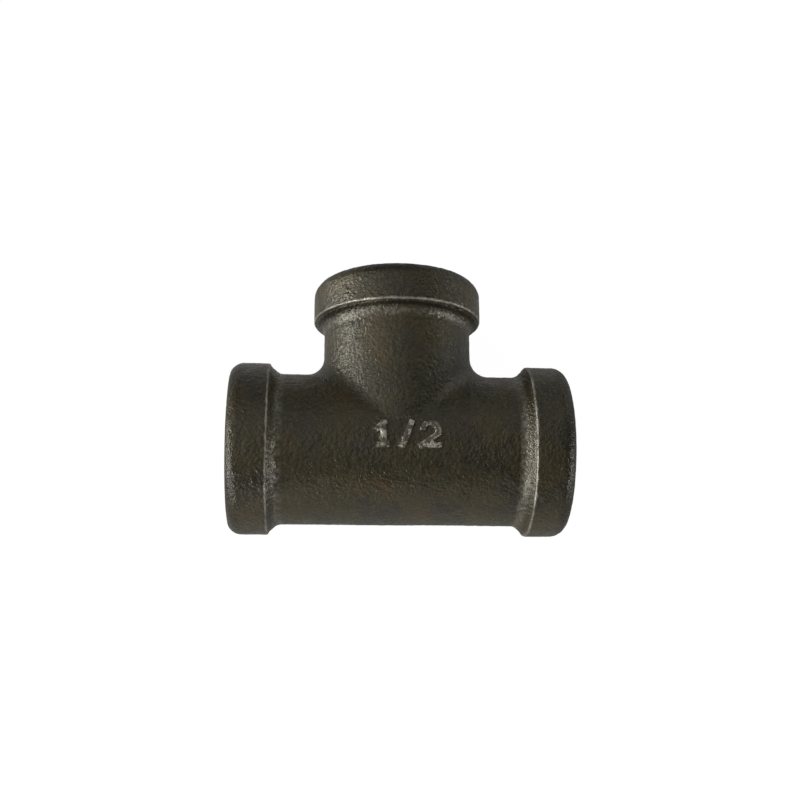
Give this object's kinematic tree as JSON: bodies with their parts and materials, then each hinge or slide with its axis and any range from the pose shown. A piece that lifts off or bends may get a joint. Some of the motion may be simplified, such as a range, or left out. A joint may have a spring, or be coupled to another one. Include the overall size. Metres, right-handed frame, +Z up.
{
  "type": "female pipe tee",
  "caption": "Banded female pipe tee of malleable iron that joins two pipes in line and a branch at right angles.",
  "frame": {"origin": "on the resting surface, under the middle of the outline seen from above", "axes": "+X along the run, +Y along the branch away from the run, +Z up from the surface the tee lies on"},
  "size_m": [0.0568, 0.0438, 0.0292],
  "materials": {
    "black_iron": "black oxide over an orange-peel casting skin, with cut threads in the ends"
  },
  "bodies": {
    "root": {"pipe_tee": "black_iron"}
  },
  "joints": []
}
